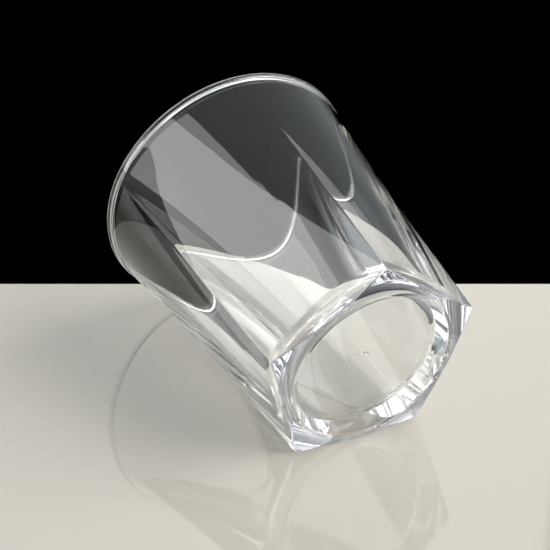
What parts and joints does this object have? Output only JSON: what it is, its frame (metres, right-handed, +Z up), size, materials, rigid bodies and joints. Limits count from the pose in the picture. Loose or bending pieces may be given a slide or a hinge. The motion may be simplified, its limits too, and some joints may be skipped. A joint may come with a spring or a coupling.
{
  "type": "plastic tumbler",
  "caption": "Clear plastic tumbler: round at the lip and inside, its outside lofted down to flat faces and sharp corners, with a recessed round base.",
  "frame": {"origin": "centre of the bounding box's bottom face, on the axis of the cup, at the plane of the standing ring", "axes": "+Z up along the cup's axis, from the base to the open mouth; the middle of one flat face looks to -Y"},
  "size_m": [0.078, 0.078, 0.086],
  "materials": {
    "polystyrene": "clear, injection moulded, polished mould surface"
  },
  "bodies": {
    "root": {"tumbler": "polystyrene"}
  },
  "joints": []
}
